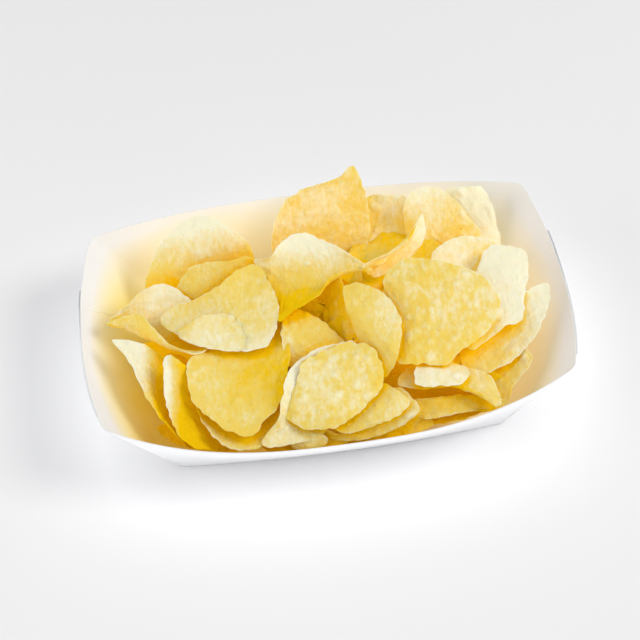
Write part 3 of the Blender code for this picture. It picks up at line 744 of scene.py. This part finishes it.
def under_chips(count, draw):
    """The chips that lie under those that show, scattered over a mound."""
    found = []
    for number in range(count):
        turn = number * GOLDEN_ANGLE
        reach = math.sqrt((number + 0.5) / count)
        x = MOUND_CENTRE[0] + MOUND_RADII[0] * reach * math.cos(turn)
        y = MOUND_CENTRE[1] + MOUND_RADII[1] * reach * math.sin(turn)
        z = MOUND_TOP - MOUND_FALL * reach**2 + draw.uniform(*UNDER_DEPTHS)
        bearing = math.degrees(math.atan2(y * MOUND_STRETCH, x))
        lean = UNDER_LEAN + UNDER_OUTWARD_LEAN * reach
        tip = lean_matrix(lean + draw.uniform(-UNDER_UNEVEN_LEAN, UNDER_UNEVEN_LEAN), bearing)
        rim = uneven_rim(draw.uniform(*UNDER_LENGTHS), draw.uniform(*UNDER_WIDTHS), draw)
        curve = rim_curve([tip @ point for point in rim])
        curve = fitted(curve, np.array((x, y, z)) * MM)
        # Partly painted shade: a deep gold for a chip that lies under others
        gold = draw.uniform(*UNDER_SHADED_GOLDS)
        belly = draw.uniform(*UNDER_BELLIES)
        found.append((curve, belly, (gold, gold, 0), draw.randint(*UNDER_BLISTERS)))
    return found


def uneven_rim(length, width, draw):
    """The rim of a chip of this half length and half width, curled at random, in metres."""
    curl, twist = draw.uniform(*UNDER_CURLS), draw.uniform(0, math.pi)
    rim = []
    for step in range(UNDER_POINTS):
        angle = 2 * math.pi * step / UNDER_POINTS
        reach = 1 + draw.uniform(*UNDER_BULGES)
        rise = curl * math.cos(2 * (angle - twist)) + draw.uniform(*UNDER_WAVES)
        rim.append(Vector((length * reach * math.cos(angle), width * reach * math.sin(angle), rise)) * MM)
    return rim


def fitted(curve, centre):
    """A rim placed at a centre, drawn in and made smaller until it clears the tray."""
    for _ in range(FIT_TRIES):
        placed = curve + centre
        if all((clear_of_walls(point) - point).length == 0 for point in map(Vector, placed[::4])):
            break
        centre = centre * FIT_SHIFT + (0, 0, FIT_LIFT * MM)
        curve = curve * FIT_SHRINK
    return placed


def side_point(across, along, up, board):
    """A point of a long wall: across is -1 in front and 1 behind, along runs from -1 to 1."""
    bow = 1 - abs(along) ** SIDE_FULLNESS
    base = Vector((
        along * BASE_LENGTH / 2,
        across * (BASE_WIDTH / 2 + BASE_BOW * (1 - along**2)),
        board / 2,
    ))
    rim = Vector((
        along * RIM_LENGTH / 2,
        across * (RIM_WIDTH / 2 + SIDE_BOW * bow),
        CORNER_HEIGHT - SIDE_DIP * bow,
    ))
    return base.lerp(rim, up)


def end_point(end, across, up, board):
    """A point of an end wall: end is -1 at the left and 1 at the right, across runs from -1 to 1."""
    bow = 1 - abs(across) ** END_FULLNESS
    base = Vector((end * BASE_LENGTH / 2, across * BASE_WIDTH / 2, board / 2))
    rim = Vector((
        end * (RIM_LENGTH / 2 + END_BOW * bow),
        across * RIM_WIDTH / 2,
        CORNER_HEIGHT - END_DIP * bow,
    ))
    return base.lerp(rim, up)


def tray_loop(up, board):
    """The points round the walls at this height, from the front left corner and anticlockwise."""
    sides = [2 * step / SIDE_STEPS - 1 for step in range(SIDE_STEPS)]
    ends = [2 * step / END_STEPS - 1 for step in range(END_STEPS)]
    return (
        [side_point(-1, along, up, board) for along in sides]
        + [end_point(1, across, up, board) for across in ends]
        + [side_point(1, -along, up, board) for along in sides]
        + [end_point(-1, -across, up, board) for across in ends]
    )


def extrude_ring(shape, ring, points):
    """Extrudes a closed ring of vertices to these points, and returns the new ring."""
    edges = [shape.edges.get(pair) for pair in zip(ring, ring[1:] + ring[:1])]
    made = set(bmesh.ops.extrude_edge_only(shape, edges=edges)["geom"])
    raised = []
    for vertex, point in zip(ring, points):
        twins = (edge.other_vert(vertex) for edge in vertex.link_edges)
        twin = next(other for other in twins if other in made)
        twin.co = point
        raised.append(twin)
    return raised


def mark_inside(shape):
    """Marks the points of the board's inner face."""
    layer = shape.verts.layers.float.new("inside")
    shape.normal_update()
    for vertex in shape.verts:
        towards_middle = Vector((0, 0, CORNER_HEIGHT)) - vertex.co
        vertex[layer] = float(vertex.normal.dot(towards_middle) > 0)


def crease(shape, edges, width, segments):
    """Rounds folds of the board."""
    bmesh.ops.bevel(
        shape, geom=edges, offset=width, segments=segments, profile=0.5, affect="EDGES", material=-1
    )


def is_base_edge(edge):
    """Whether an edge lies between the flat floor and a wall."""
    flat = [abs(face.normal.z) > LEVEL for face in edge.link_faces]
    return len(flat) == 2 and flat[0] != flat[1]


def make_tray_shell(board, surface):
    """The folded floor and walls of the tray, of one sheet of board."""
    shape = bmesh.new()
    inside = shape.verts.layers.float.new("inside")
    ring = [shape.verts.new(point) for point in tray_loop(0, board)]
    shape.faces.new(ring)
    corners = (0, SIDE_STEPS, SIDE_STEPS + END_STEPS, 2 * SIDE_STEPS + END_STEPS)
    corner_edges = []
    for step in range(WALL_STEPS):
        raised = extrude_ring(shape, ring, tray_loop((step + 1) / WALL_STEPS, board))
        corner_edges += [shape.edges.get((ring[corner], raised[corner])) for corner in corners]
        ring = raised
    crease(shape, corner_edges, CORNER_CREASE, CORNER_ROUNDING)
    crease(shape, [edge for edge in shape.edges if is_base_edge(edge)], BASE_CREASE, BASE_ROUNDING)
    bmesh.ops.recalc_face_normals(shape, faces=shape.faces)
    if max(shape.faces, key=lambda face: face.calc_area()).normal.z < 0:
        bmesh.ops.reverse_faces(shape, faces=shape.faces)
    for side, points in zip((-1, 1), doubled(shape)):
        for vertex, _, normal in points:
            vertex.co += normal * side * board / 2
            vertex[inside] = float(side > 0)
    bmesh.ops.recalc_face_normals(shape, faces=shape.faces)
    return finish_piece("tray_shell", shape, surface, BOARD_SHARP)


def wall_normal(end, across, up, board):
    """The unit normal of an end wall, towards the inside of the tray."""
    sides = [end_point(end, across + step, up, board) for step in (NORMAL_STEP, -NORMAL_STEP)]
    heights = [end_point(end, across, up + step, board) for step in (NORMAL_STEP, -NORMAL_STEP)]
    normal = (sides[0] - sides[1]).cross(heights[0] - heights[1]).normalized()
    return normal if normal.x * end < 0 else -normal


def add_end_layer(shape, end, spans, heights, thickness, board):
    """Adds a sheet of board glued over part of an end wall.

    spans holds where the sheet starts and stops along the base and along the rim. thickness gives,
    for a place along (0 to 1) and up (0 to 1) the sheet, how far its two faces stand off the middle
    of the wall, inwards when positive.
    """
    columns, rows = LAYER_GRID
    layer = bmesh.new()
    bmesh.ops.create_grid(layer, x_segments=columns, y_segments=rows, size=0.5)
    faces = list(layer.faces)
    inner_face = set(bmesh.ops.extrude_face_region(layer, geom=faces, use_keep_orig=True)["geom"])
    for vertex in layer.verts:
        along, rise = vertex.co.x + 0.5, vertex.co.y + 0.5
        up = heights[0] + (heights[1] - heights[0]) * rise
        start, stop = (base + (rim - base) * up for base, rim in zip(*spans))
        across = start + (stop - start) * along
        outer, inner = thickness(along, rise)
        offset = inner if vertex in inner_face else outer
        vertex.co = end_point(end, across, up, board) + wall_normal(end, across, up, board) * offset
    bmesh.ops.recalc_face_normals(layer, faces=layer.faces)
    mesh = bpy.data.meshes.new("layer")
    layer.to_mesh(mesh)
    layer.free()
    shape.from_mesh(mesh)
    bpy.data.meshes.remove(mesh)


def make_end_layers(board, surface):
    """The flap glued inside and the panel glued outside each end of the tray."""
    shape = bmesh.new()

    def flap(along, _rise):
        out = min(along / FLAP_TAPER, 1.0)
        return (board / 2 - LAYER_ROOT, board / 2 + out * LAP_STEP)

    def panel(along, rise):
        spring = PANEL_SPRING * rise**2 * max(0.0, 1 - along / PANEL_SPRING_SPAN)
        outer = -board / 2 - LAP_STEP - spring
        return (outer, outer + LAP_STEP + LAYER_ROOT * (1 - rise))

    for end in (-1, 1):
        add_end_layer(shape, end, BACK_FLAP, BACK_FLAP_HEIGHTS, flap, board)
        add_end_layer(shape, end, END_PANEL, END_PANEL_HEIGHTS, panel, board)
    mark_inside(shape)
    return finish_piece("tray_end_layers", shape, surface, BOARD_SHARP)


class Surface:
    """Lays out the nodes of a material."""

    def __init__(self, name):
        self.material = bpy.data.materials.new(name)
        self.material.use_nodes = True
        self.nodes = self.material.node_tree.nodes
        self.links = self.material.node_tree.links
        self.shader = self.nodes["Principled BSDF"]

    def node(self, kind, **values):
        """A new node with these settings."""
        made = self.nodes.new(kind)
        for name, value in values.items():
            setattr(made, name, value)
        return made

    def fill(self, node, values):
        """Sets the values of a node's sockets."""
        for name, value in values.items():
            node.inputs[name].default_value = value

    def join(self, source, target):
        self.links.new(source, target)

    def place(self):
        """The place on the object, in metres."""
        return self.node("ShaderNodeTexCoord").outputs["Object"]

    def noise(self, scale, detail, roughness=0.5, stretch=None):
        made = self.node("ShaderNodeTexNoise")
        self.fill(made, {"Scale": scale, "Detail": detail, "Roughness": roughness})
        place = self.place()
        if stretch:
            stretched = self.node("ShaderNodeMapping")
            self.fill(stretched, {"Scale": stretch})
            self.join(place, stretched.inputs["Vector"])
            place = stretched.outputs["Vector"]
        self.join(place, made.inputs["Vector"])
        return made.outputs["Fac"]

    def cells(self, scale, feature="F1"):
        made = self.node("ShaderNodeTexVoronoi", feature=feature)
        self.fill(made, {"Scale": scale})
        self.join(self.place(), made.inputs["Vector"])
        return made

    def attribute(self, name):
        return self.node("ShaderNodeAttribute", attribute_name=name).outputs["Fac"]

    def remap(self, source, low, high, to_low=0.0, to_high=1.0):
        made = self.node("ShaderNodeMapRange")
        self.fill(made, {"From Min": low, "From Max": high, "To Min": to_low, "To Max": to_high})
        self.join(source, made.inputs["Value"])
        return made.outputs["Result"]

    def combine(self, operation, first, second):
        """Works out two values, each a socket or a number, into one."""
        made = self.node("ShaderNodeMath", operation=operation)
        for socket, value in zip(made.inputs, (first, second)):
            if isinstance(value, (int, float)):
                socket.default_value = value
            else:
                self.join(value, socket)
        return made.outputs[0]

    def mix(self, amount, first, second):
        """A colour between two colours, each a socket or a plain colour."""
        made = self.node("ShaderNodeMix", data_type="RGBA")
        sockets = (made.inputs["Factor"], made.inputs[6], made.inputs[7])
        for socket, value in zip(sockets, (amount, first, second)):
            if isinstance(value, (int, float)):
                socket.default_value = value
            elif isinstance(value, tuple):
                socket.default_value = (*value, 1.0)
            else:
                self.join(value, socket)
        return made.outputs[2]

    def bump(self, height, distance, strength=1.0, under=None):
        """Relief this many metres high, laid over the relief under it."""
        made = self.node("ShaderNodeBump")
        self.fill(made, {"Strength": strength, "Distance": distance})
        self.join(height, made.inputs["Height"])
        if under is not None:
            self.join(under, made.inputs["Normal"])
        return made.outputs["Normal"]


def chip_surface(name, pale, gold, amber):
    """Thin fried potato: pale where it is dry and puffed, golden where it is thin and oily, and paler or
    deeper where its gold attribute carries painted light and shade; its rim is painted paler as a painted
    highlight.
    """
    look = Surface(name)
    mottle = look.remap(look.noise(*MOTTLE_NOISE), *NOISE_SPAN, -MOTTLE_TONE, MOTTLE_TONE)
    streaks = look.noise(*STREAK_NOISE)
    fine = look.remap(streaks, *NOISE_SPAN, -STREAK_TONE, STREAK_TONE)
    patches = look.remap(look.noise(*PATCH_NOISE), *PATCH_SPAN, *PATCH_TONES)
    # Painted highlight: the rim is painted paler
    edge = look.remap(look.attribute("rim"), EDGE_START, 1.0, 0.0, PAINTED_EDGE_HIGHLIGHT)
    tones = (
        mottle,
        fine,
        look.combine("MULTIPLY", patches, look.attribute("mottled")),
        look.remap(look.attribute("bubble"), 0.0, BLISTER_TOP, 0.0, BLISTER_TONE),
        look.combine("MULTIPLY", edge, look.remap(look.noise(*EDGE_NOISE), *EDGE_SPAN)),
    )
    tone = look.attribute("gold")
    for added in tones:
        tone = look.combine("ADD", tone, added)
    colour = look.mix(look.remap(tone, 0.0, GOLD_TONE), pale, gold)
    colour = look.mix(look.remap(tone, GOLD_TONE, AMBER_TONE), colour, amber)
    speck = look.cells(SPECK_SCALE)
    near = look.remap(speck.outputs["Distance"], *SPECK_SIZES, 1.0, 0.0)
    chance = look.node("ShaderNodeSeparateColor")
    look.join(speck.outputs["Color"], chance.inputs["Color"])
    rare = look.remap(chance.outputs["Red"], *SPECK_RARITY)
    colour = look.mix(look.combine("MULTIPLY", near, rare), colour, SPECK_BROWN)
    look.join(colour, look.shader.inputs["Base Color"])
    gloss = look.remap(look.noise(*GLOSS_NOISE), *NOISE_SPAN, *GLOSS_RANGE)
    look.join(gloss, look.shader.inputs["Roughness"])
    relief = look.bump(streaks, GRAIN_RELIEF, strength=0.9)
    for scale, height in DOME_RELIEFS:
        away = look.cells(scale, "SMOOTH_F1").outputs["Distance"]
        domes = look.remap(away, 0.0, DOME_EDGE, 1.0, 0.0)
        relief = look.bump(domes, height, strength=0.7, under=relief)
    look.join(relief, look.shader.inputs["Normal"])
    look.fill(look.shader, {
        "Subsurface Weight": 0.3,
        "Subsurface Radius": (1.0, 0.8, 0.5),
        "Subsurface Scale": 0.0012,
        "Specular IOR Level": 0.3,
        "IOR": 1.12,
    })
    return look.material


def board_surface():
    """White uncoated paperboard with faint fibres, golden low inside with oil and with painted light
    bounced from the chips.
    """
    look = Surface("folded_board")
    fibre = look.remap(look.noise(*FIBRE_NOISE), *NOISE_SPAN)
    cloud = look.remap(look.noise(*CLOUD_NOISE), *NOISE_SPAN)
    inside = look.attribute("inside")
    white = look.mix(fibre, *BOARD_WHITES)
    white = look.mix(look.combine("MULTIPLY", cloud, BOARD_CLOUD_SHARE), white, BOARD_CLOUD)
    # Painted light: the inner face is lighter and cooler, offsetting the pink light bounced from the
    # chips
    white = look.mix(inside, white, BOARD_INSIDE)
    place = look.node("ShaderNodeSeparateXYZ")
    look.join(look.place(), place.inputs["Vector"])
    # Painted light, partly oil: a golden tone low inside, fading towards the right and the back
    low = look.combine("POWER", look.remap(place.outputs["Z"], 0.0, GLOW_TOP), GLOW_FULLNESS)
    glow = look.combine("SUBTRACT", 1.0, low)
    shares = (
        inside,
        look.remap(place.outputs["X"], *GLOW_RIGHT_SPAN, 1.0, GLOW_RIGHT),
        look.remap(place.outputs["Y"], *GLOW_BACK_SPAN, 1.0, GLOW_BACK),
        look.remap(cloud, 0.0, 1.0, *GLOW_CLOUDS),
    )
    for share in shares:
        glow = look.combine("MULTIPLY", glow, share)
    warm = look.mix(look.remap(glow, 0.0, GLOW_MIDDLE), white, GLOW_TONES[0])
    warm = look.mix(look.remap(glow, GLOW_MIDDLE, 1.0), warm, GLOW_TONES[1])
    look.join(warm, look.shader.inputs["Base Color"])
    look.join(look.remap(fibre, 0.0, 1.0, *BOARD_ROUGHNESS), look.shader.inputs["Roughness"])
    look.join(look.bump(look.noise(*RELIEF_NOISE), BOARD_RELIEF), look.shader.inputs["Normal"])
    look.fill(look.shader, {"Specular IOR Level": 0.3})
    return look.material


def table_surface(colour):
    """A plain pale tabletop."""
    look = Surface("pale_table")
    darker = tuple(part * TABLE_DARKEST for part in colour)
    white = look.mix(look.noise(*TABLE_NOISE), colour, darker)
    look.join(white, look.shader.inputs["Base Color"])
    look.fill(look.shader, {"Roughness": 0.8, "Specular IOR Level": 0.2})
    return look.material


class TrayProperties(bpy.types.PropertyGroup):
    board: FloatProperty(
        name="Board", description="Thickness of the paperboard", default=0.0005, unit="LENGTH"
    )


class HeapProperties(bpy.types.PropertyGroup):
    thickness: FloatProperty(
        name="Thickness", description="Thickness of a chip", default=0.001, unit="LENGTH"
    )
    under_count: IntProperty(
        name="Under chips", description="Chips under those that show", default=UNDER_COUNT
    )
    seed: IntProperty(name="Seed", description="Draws the chips' uneven details", default=11)
    pale: FloatVectorProperty(
        name="Pale", description="Colour of a chip's dry, puffed parts", default=(0.93, 0.90, 0.68),
        subtype="COLOR",
    )
    gold: FloatVectorProperty(
        name="Gold", description="Colour of a chip's golden parts", default=(0.88, 0.685, 0.17),
        subtype="COLOR",
    )
    amber: FloatVectorProperty(
        name="Amber", description="Colour of a chip's deepest parts", default=(0.92, 0.59, 0.003),
        subtype="COLOR",
    )


class StageProperties(bpy.types.PropertyGroup):
    table: FloatVectorProperty(
        name="Table", description="Colour of the table", default=(0.885, 0.885, 0.895), subtype="COLOR"
    )
    key_power: FloatProperty(name="Key", description="Power of the main light in watts", default=34.0)
    left_power: FloatProperty(name="Left", description="Power of the left light in watts", default=3.8)
    front_power: FloatProperty(name="Front", description="Power of the front light in watts", default=1.7)
    fill: FloatProperty(name="Fill", description="Strength of the light from all round", default=0.19)


def all_films(heap):
    """The search tree of every chip of the heap."""
    shown = [chip for specs in CHIP_LISTS.values() for chip in top_chips(specs)]
    return heap_films(shown + under_chips(heap.under_count, random.Random(heap.seed)))


def ride_and_replace(piece, node):
    """Puts a piece on the body, in the place of its CAD node."""
    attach(piece, "root")
    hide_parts(node)


class CHIPTRAY_OT_tray(bpy.types.Operator):
    """Fold the paperboard tray and glue its ends"""

    bl_idname = "chiptray.tray"
    bl_label = "Build tray"

    def execute(self, context):
        board = context.scene.chiptray_tray.board
        surface = board_surface()
        for piece in (make_tray_shell(board, surface), make_end_layers(board, surface)):
            ride_and_replace(piece, "tray")
        return {"FINISHED"}


class CHIPTRAY_OT_chips(bpy.types.Operator):
    """Lay the chips that show, one by one"""

    bl_idname = "chiptray.chips"
    bl_label = "Lay top chips"

    def execute(self, context):
        heap = context.scene.chiptray_heap
        surface = chip_surface(CHIP_FINISH, tuple(heap.pale), tuple(heap.gold), tuple(heap.amber))
        films = all_films(heap)
        for number, (name, specs) in enumerate(CHIP_LISTS.items()):
            seed = heap.seed + SEED_STEP * number
            piece = make_piece(name, top_chips(specs), seed, heap.thickness, CHIP_GRID, surface, films)
            ride_and_replace(piece, "chip_heap")
        return {"FINISHED"}


class CHIPTRAY_OT_under_chips(bpy.types.Operator):
    """Scatter the chips that lie under those that show"""

    bl_idname = "chiptray.under_chips"
    bl_label = "Scatter under chips"

    def execute(self, context):
        heap = context.scene.chiptray_heap
        surface = bpy.data.materials[CHIP_FINISH]
        specs = under_chips(heap.under_count, random.Random(heap.seed))
        films = all_films(heap)
        piece = make_piece(
            "under_chips", specs, heap.seed + UNDER_SEED, heap.thickness, UNDER_GRID, surface, films
        )
        for made in (piece, make_core(surface)):
            ride_and_replace(made, "chip_heap")
        return {"FINISHED"}


class CHIPTRAY_OT_stage(bpy.types.Operator):
    """Set the table, the lights and the camera"""

    bl_idname = "chiptray.stage"
    bl_label = "Set stage"

    def execute(self, context):
        stage = context.scene.chiptray_stage
        make_table(tuple(stage.table))
        for light, power in zip(LIGHTS, (stage.key_power, stage.left_power, stage.front_power)):
            make_light(*light, power)
        make_world(stage.fill)
        make_camera()
        context.scene.view_settings.view_transform = "Standard"
        context.scene.cycles.use_fast_gi = True
        context.scene.cycles.fast_gi_method = "ADD"
        context.scene.world.light_settings.ao_factor = SOFT_SHARE
        context.scene.world.light_settings.distance = SOFT_REACH
        context.scene.cycles.max_bounces = LIGHT_BOUNCES
        context.scene.cycles.diffuse_bounces = LIGHT_BOUNCES
        return {"FINISHED"}


def make_table(colour):
    """The tabletop, wider than the picture shows."""
    shape = bmesh.new()
    bmesh.ops.create_grid(shape, x_segments=1, y_segments=1, size=TABLE_REACH)
    table = finish_piece("table", shape, table_surface(colour), 0)


def make_light(name, place, size, colour, power):
    """A soft round light that shines at the middle of the table."""
    data = bpy.data.lights.new(name, "AREA")
    data.shape = "DISK"
    data.size = size
    data.energy = power
    data.color = colour
    lamp = bpy.data.objects.new(name, data)
    lamp.location = place
    lamp.rotation_euler = (-Vector(place)).to_track_quat("-Z", "Y").to_euler()
    bpy.context.scene.collection.objects.link(lamp)


def make_world(strength):
    """The even light from all round."""
    world = bpy.data.worlds.new("studio")
    world.use_nodes = True
    background = world.node_tree.nodes["Background"]
    background.inputs["Color"].default_value = SKY_COLOUR
    background.inputs["Strength"].default_value = strength
    bpy.context.scene.world = world


def make_camera():
    """The camera, at the photograph's line of sight."""
    data = bpy.data.cameras.new("camera")
    data.lens = VIEW_FOCAL * data.sensor_width
    data.clip_start = NEAREST_SEEN
    camera = bpy.data.objects.new("camera", data)
    right, up, forward = view_axes()
    turn = Matrix((right, up, -forward)).transposed().to_4x4()
    camera.matrix_world = Matrix.Translation(Vector(VIEW_AIM) - forward * VIEW_DISTANCE) @ turn
    bpy.context.scene.collection.objects.link(camera)
    bpy.context.scene.camera = camera


class CHIPTRAY_PT_panel(bpy.types.Panel):
    """Settings of the tray of potato chips"""

    bl_label = "Tray of potato chips"
    bl_idname = "CHIPTRAY_PT_panel"
    bl_space_type = "VIEW_3D"
    bl_region_type = "UI"
    bl_category = "Chips"

    def draw(self, context):
        groups = (
            (context.scene.chiptray_tray, ("chiptray.tray",)),
            (context.scene.chiptray_heap, ("chiptray.chips", "chiptray.under_chips")),
            (context.scene.chiptray_stage, ("chiptray.stage",)),
        )
        for group, operators in groups:
            box = self.layout.box()
            for name in group.__annotations__:
                box.prop(group, name)
            for operator in operators:
                box.operator(operator)


CLASSES = (
    TrayProperties,
    HeapProperties,
    StageProperties,
    CHIPTRAY_OT_tray,
    CHIPTRAY_OT_chips,
    CHIPTRAY_OT_under_chips,
    CHIPTRAY_OT_stage,
    CHIPTRAY_PT_panel,
)


def register():
    for item in CLASSES:
        bpy.utils.register_class(item)
    bpy.types.Scene.chiptray_tray = PointerProperty(type=TrayProperties)
    bpy.types.Scene.chiptray_heap = PointerProperty(type=HeapProperties)
    bpy.types.Scene.chiptray_stage = PointerProperty(type=StageProperties)


def unregister():
    del bpy.types.Scene.chiptray_stage
    del bpy.types.Scene.chiptray_heap
    del bpy.types.Scene.chiptray_tray
    for item in reversed(CLASSES):
        bpy.utils.unregister_class(item)


def main():
    register()
    bpy.ops.chiptray.tray()
    bpy.ops.chiptray.chips()
    bpy.ops.chiptray.under_chips()
    bpy.ops.chiptray.stage()


if __name__ == "__main__":
    main()
